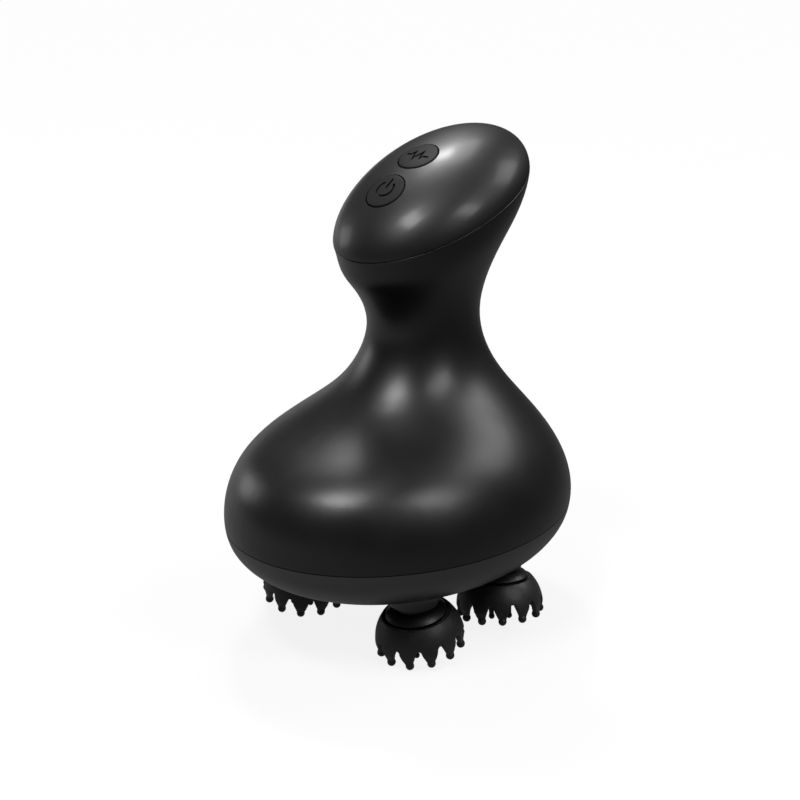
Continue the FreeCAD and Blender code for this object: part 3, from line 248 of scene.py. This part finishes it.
# Signs, sunk into the faces: an open ring with a bar, and a pulse line
SIGN_BLOCK = 1.0
SIGN_DEPTH = 0.6
SIGN_STROKE = 0.82
SIGN_MERGE = 0.001
POWER_RING = 2.85
POWER_RING_STEPS = 48
POWER_GAP = 36.0
POWER_RAISED = 0.35
POWER_BAR = (0.25, 4.15)
PULSE = [(-4.3, 0), (-2.7, 0), (-1.75, 1.45), (-0.45, -1.9), (0.9, 1.9), (1.95, -1.15), (2.65, 0), (4.3, 0)]


def stroke(bm, points, width):
    """Flat band of even width along a line of points, with mitred corners."""
    last = len(points) - 1
    made = bmesh.ops.create_grid(bm, x_segments=last, y_segments=1, size=0.5)["verts"]
    path = [Vector(point) for point in points]
    ways = [(end - start).normalized() for start, end in zip(path, path[1:])]
    for vertex in made:
        place = round((vertex.co.x + 0.5) * last)
        before, after = ways[max(place - 1, 0)], ways[min(place, last - 1)]
        across = Vector((-before.y - after.y, before.x + after.x)).normalized()
        reach = width / 2 / across.dot(Vector((-before.y, before.x)))
        spot = path[place] + across * math.copysign(reach, vertex.co.y)
        vertex.co = (spot.x, spot.y, 0)


def power_sign(bm):
    """Open ring with an upright bar in its gap."""
    start = math.radians(90 + POWER_GAP)
    turn = math.radians(360 - 2 * POWER_GAP)
    ends = [bm.verts.new((radius * math.cos(start), radius * math.sin(start), 0))
            for radius in (POWER_RING - SIGN_STROKE / 2, POWER_RING + SIGN_STROKE / 2)]
    edge = bm.edges.new(ends)
    bmesh.ops.spin(bm, geom=[*ends, edge], cent=(0, 0, 0), axis=(0, 0, 1), dvec=(0, 0, 0), angle=turn,
                   steps=POWER_RING_STEPS)
    stroke(bm, [(0, height) for height in POWER_BAR], SIGN_STROKE)
    bmesh.ops.translate(bm, verts=bm.verts[:], vec=(0, POWER_RAISED, 0))


def pulse_sign(bm):
    """Line with a double swing, as a sign for muscle pulses."""
    stroke(bm, PULSE, SIGN_STROKE)


def sign_block(name, draw, face, normal):
    """Closed block of a sign, standing across a button's face."""
    bm = bmesh.new()
    draw(bm)
    bmesh.ops.remove_doubles(bm, verts=bm.verts[:], dist=SIGN_MERGE)
    bmesh.ops.recalc_face_normals(bm, faces=bm.faces[:])
    for flat in bm.faces:
        if flat.normal.z < 0:
            flat.normal_flip()
    bmesh.ops.solidify(bm, geom=bm.faces[:], thickness=SIGN_BLOCK)
    bmesh.ops.recalc_face_normals(bm, faces=bm.faces[:])
    low = min(vertex.co.z for vertex in bm.verts)
    up = normal.cross(Vector((1, 0, 0))).normalized()
    right = up.cross(normal)
    turn = Matrix((right, up, normal)).transposed().to_4x4()
    sink = Matrix.Translation((0, 0, -SIGN_DEPTH - low))
    shrink = Matrix.Scale(MILLIMETRE, 4)
    bmesh.ops.transform(bm, matrix=Matrix.Translation(face) @ turn @ shrink @ sink, verts=bm.verts[:])
    return new_piece(name, bm, "button_black")


def button_rim(bm, centre):
    """Edges round a button's face, where it meets the button's side."""
    rim = []
    for edge in bm.edges:
        if edge.calc_face_angle(0.0) < SHARP:
            continue
        spots = [(vertex.co - centre) / MILLIMETRE for vertex in edge.verts]
        heights = [spot.dot(PRESS_AXIS) for spot in spots]
        reaches = [(spot - PRESS_AXIS * height).length for spot, height in zip(spots, heights)]
        if min(heights) > -RIM_DEPTH and min(reaches) > BUTTON_RADIUS - RIM_SLACK:
            rim.append(edge)
    return rim


def engraved_button(node_name, draw, along):
    """Button's copy with a rounded rim and a sign sunk into its face."""
    bm = merged_copy(node_name)
    up_row = Vector((0, PRESS_AXIS.z, -PRESS_AXIS.y))
    centre = (POWER_FACE + up_row * along) * MILLIMETRE
    round_edges(bm, button_rim(bm, centre), RIM_ROUND, RIM_SEGMENTS)
    piece = new_piece("engraved_" + node_name, bm, "button_black")
    above = centre + PRESS_AXIS * BUTTON_REACH * MILLIMETRE
    _, face, normal, _ = piece.ray_cast(above, -PRESS_AXIS)
    sign = sign_block(node_name + "_sign", draw, face, normal)
    cut = piece.modifiers.new("sign", "BOOLEAN")
    cut.operation = "DIFFERENCE"
    cut.solver = "EXACT"
    cut.object = sign
    apply_modifiers(piece)
    bpy.data.objects.remove(sign)
    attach(piece, BODY_OF[node_name])
    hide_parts(node_name)


engraved_button("power_button", power_sign, 0)
engraved_button("ems_button", pulse_sign, BUTTON_PITCH)

# Main shell: the rim under the cap's leaning seam is rounded and catches the light
SEAM_TILT = 20.9
SEAM_ABOVE = 100.0
SEAM_ROUND = 0.22
SEAM_SEGMENTS = 3
FLAT_ENOUGH = 0.98


def seam_rim(bm):
    """Outer edges of the flat rim that the cap sits on."""
    tilt = math.radians(SEAM_TILT)
    upward = Vector((0, -math.sin(tilt), math.cos(tilt)))
    found = []
    for edge in bm.edges:
        if not edge.is_convex or edge.calc_face_angle(0.0) < SHARP:
            continue
        side, flat = sorted((face.normal for face in edge.link_faces), key=upward.dot)
        middle = (edge.verts[0].co + edge.verts[1].co) / 2
        if flat.dot(upward) > FLAT_ENOUGH and middle.z > SEAM_ABOVE * MILLIMETRE:
            found.append((edge, middle, side))
    centre = sum((middle for _, middle, _ in found), Vector()) / len(found)
    return [edge for edge, middle, side in found if side.dot(middle - centre) > 0]


def rounded_shell():
    """Main shell's copy with its upper rim rounded."""
    bm = merged_copy("main_shell")
    round_edges(bm, seam_rim(bm), SEAM_ROUND, SEAM_SEGMENTS)
    for face in bm.faces:
        face.smooth = True
    piece = new_piece("rounded_main_shell", bm, "shell_black")
    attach(piece, BODY_OF["main_shell"])
    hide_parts("main_shell")


rounded_shell()

# Soft mouldings: rebuilt on a grid of this grain and smoothed, so that no edge stays sharp
CLAW_GRAIN = 0.25
PLUG_GRAIN = 0.12
MELT_SHARE = 0.5
MELT_ROUNDS = 4


def soft_moulding(node_name, grain):
    """Copy of a silicone or rubber piece with its edges melted round."""
    slot = SLOT_OF[node_name]
    piece = new_piece("soft_" + node_name, merged_copy(node_name), slot)
    grid = piece.modifiers.new("grid", "REMESH")
    grid.mode = "VOXEL"
    grid.voxel_size = grain * MILLIMETRE
    grid.use_smooth_shade = True
    melt = piece.modifiers.new("melt", "SMOOTH")
    melt.factor = MELT_SHARE
    melt.iterations = MELT_ROUNDS
    apply_modifiers(piece)
    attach(piece, BODY_OF[node_name])
    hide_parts(node_name)


for name in sorted(nodes):
    if SLOT_OF[name] == "claw_silicone":
        soft_moulding(name, CLAW_GRAIN)
soft_moulding("port_plug", PLUG_GRAIN)

# Studio floor: its own shade takes over near the part, and in gloss it carries a painted rim glow on one side that
# lightens the part's edges there
FLOOR_HALF = 4.0
FLOOR_ROUGHNESS = 0.9
FLOOR_DIM = (0.08, 0.08, 0.08, 1)
FLOOR_PALE = (0.80, 0.80, 0.80, 1)
SHADE_REACH = (0.08, 0.38)
SHADE_GLOW = (0.87, 0.985)
# Painted rim light: the floor glows in gloss only, more towards this side, and the part's edges on that side
# reflect it
GLOSS_SIDE = Vector((-0.8, -0.6, 0))
GLOSS_REACH = (-0.25, 0.25)
PAINTED_RIM_GLOW = (0.0, 0.38)

# Backdrop: its own light, and how white it shows to the eye and in gloss
BACKDROP_LIGHT = 0.02
BACKDROP_GLOW = 0.995
BACKDROP_GLOSS = 0.06
WHITE = (1, 1, 1, 1)


def worked_out(tree, operation, first, second):
    """Result of one step on two values, each a plain number or another node's output."""
    node = tree.nodes.new("ShaderNodeMath")
    node.operation = operation
    for socket, value in zip(node.inputs, (first, second)):
        if isinstance(value, float):
            socket.default_value = value
        else:
            tree.links.new(value, socket)
    return node.outputs[0]


def seen_share(tree, straight, glossy):
    """Share of the white glow: for what the camera sees straight or through glass, and in gloss."""
    rays = tree.nodes.new("ShaderNodeLightPath").outputs
    plain = worked_out(tree, "MULTIPLY", rays["Is Camera Ray"], straight)
    through = worked_out(tree, "MULTIPLY", rays["Is Transmission Ray"], straight)
    mirrored = worked_out(tree, "MULTIPLY", rays["Is Glossy Ray"], glossy)
    return worked_out(tree, "MAXIMUM", worked_out(tree, "MAXIMUM", plain, through), mirrored)


def floor_glow(tree, operation, reach, glow):
    """Glow by the distance from the part, or the painted rim glow along the side that shines in gloss."""
    measure = tree.nodes.new("ShaderNodeVectorMath")
    measure.operation = operation
    measure.inputs[1].default_value = GLOSS_SIDE
    tree.links.new(tree.nodes.new("ShaderNodeTexCoord").outputs["Object"], measure.inputs[0])
    return map_range(tree, measure.outputs["Value"], reach, glow)


def floor_finish():
    """Pale floor, white to the eye, with the shadow near the part; dim in gloss, save a painted rim glow."""
    material = bpy.data.materials.new("studio_floor")
    material.use_nodes = True
    tree = material.node_tree
    shader = tree.nodes["Principled BSDF"]
    shader.inputs["Roughness"].default_value = FLOOR_ROUGHNESS
    shader.inputs["Specular IOR Level"].default_value = 0.0
    colour = tree.nodes.new("ShaderNodeMix")
    colour.data_type = "RGBA"
    colour.inputs["A"].default_value = FLOOR_DIM
    colour.inputs["B"].default_value = FLOOR_PALE
    rays = tree.nodes.new("ShaderNodeLightPath")
    tree.links.new(rays.outputs["Is Camera Ray"], colour.inputs["Factor"])
    tree.links.new(colour.outputs["Result"], shader.inputs["Base Color"])
    straight = floor_glow(tree, "LENGTH", SHADE_REACH, SHADE_GLOW)
    # Painted rim glow: seen only in gloss, it lights the part's edges on one side
    glossy = floor_glow(tree, "DOT_PRODUCT", GLOSS_REACH, PAINTED_RIM_GLOW)
    glow = tree.nodes.new("ShaderNodeEmission")
    mix = tree.nodes.new("ShaderNodeMixShader")
    tree.links.new(seen_share(tree, straight, glossy), mix.inputs["Fac"])
    tree.links.new(shader.outputs["BSDF"], mix.inputs[1])
    tree.links.new(glow.outputs["Emission"], mix.inputs[2])
    tree.links.new(mix.outputs["Shader"], tree.nodes["Material Output"].inputs["Surface"])
    return material


def studio_floor():
    """Flat floor under the claw tips."""
    mesh = bpy.data.meshes.new("floor")
    bm = bmesh.new()
    bmesh.ops.create_grid(bm, x_segments=1, y_segments=1, size=FLOOR_HALF)
    bm.to_mesh(mesh)
    bm.free()
    mesh.materials.append(floor_finish())
    floor = bpy.data.objects.new("floor", mesh)
    scene.collection.objects.link(floor)


def studio_backdrop():
    """Dim room that shows white to the eye."""
    scene.world = bpy.data.worlds.new("studio")
    scene.world.use_nodes = True
    tree = scene.world.node_tree
    dim = tree.nodes["Background"]
    dim.inputs["Color"].default_value = WHITE
    dim.inputs["Strength"].default_value = BACKDROP_LIGHT
    white = tree.nodes.new("ShaderNodeBackground")
    white.inputs["Color"].default_value = WHITE
    either = tree.nodes.new("ShaderNodeMixShader")
    tree.links.new(seen_share(tree, BACKDROP_GLOW, BACKDROP_GLOSS), either.inputs["Fac"])
    tree.links.new(dim.outputs["Background"], either.inputs[1])
    tree.links.new(white.outputs["Background"], either.inputs[2])
    tree.links.new(either.outputs["Shader"], tree.nodes["World Output"].inputs["Surface"])


studio_floor()
studio_backdrop()

# Camera: bearing round the body, height angle, distance and the point it looks at
VIEW_BEARING = 45.59
VIEW_RISE = 19.36
VIEW_DISTANCE = 0.5024
VIEW_TARGET = Vector((-0.00146, 0.00091, 0.07187))
VIEW_FOCAL = 72.3
VIEW_SENSOR = 36.0
VIEW_NEAR = 0.01

# Soft boxes, all at one distance: bearing, height angle, width, height, roll and power
BOX_DISTANCE = 1.0
SOFT_BOXES = {
    "front_overhead": (10.5, 60.5, 0.34, 0.20, -29, 6.3),
    "back_overhead": (-122, 59, 0.12, 0.14, 0, 3.2),
    "back_sheet": (-128, 60, 0.40, 0.38, -12, 3.1),
    "right": (94.6, 40.3, 0.18, 0.46, 31, 3.2),
    "right_back": (150.7, 40.9, 0.40, 0.46, 12, 3.2),
    "left_low": (-73.1, 14.3, 0.42, 0.30, 37, 1.2),
    "left_back": (-108, 3, 0.70, 0.14, 0, 0.18),
}


def aim(holder, bearing, rise, distance, roll=0):
    """Camera or lamp set at a bearing from the front, counted towards +X, and turned to the target."""
    turn, lift = math.radians(bearing), math.radians(rise)
    away = Vector((math.sin(turn) * math.cos(lift), -math.cos(turn) * math.cos(lift), math.sin(lift)))
    facing = (-away).to_track_quat("-Z", "Y").to_matrix() @ Matrix.Rotation(math.radians(roll), 3, "Z")
    holder.location = VIEW_TARGET + away * distance
    holder.rotation_euler = facing.to_euler()
    scene.collection.objects.link(holder)


for name, (bearing, rise, width, height, roll, power) in SOFT_BOXES.items():
    lamp = bpy.data.lights.new(name, "AREA")
    lamp.shape = "RECTANGLE"
    lamp.size, lamp.size_y = width, height
    lamp.energy = power
    aim(bpy.data.objects.new(name, lamp), bearing, rise, BOX_DISTANCE, roll)

lens = bpy.data.cameras.new("camera")
lens.lens = VIEW_FOCAL
lens.sensor_width = VIEW_SENSOR
lens.clip_start = VIEW_NEAR
camera = bpy.data.objects.new("camera", lens)
aim(camera, VIEW_BEARING, VIEW_RISE, VIEW_DISTANCE)
scene.camera = camera
scene.view_settings.view_transform = "Standard"
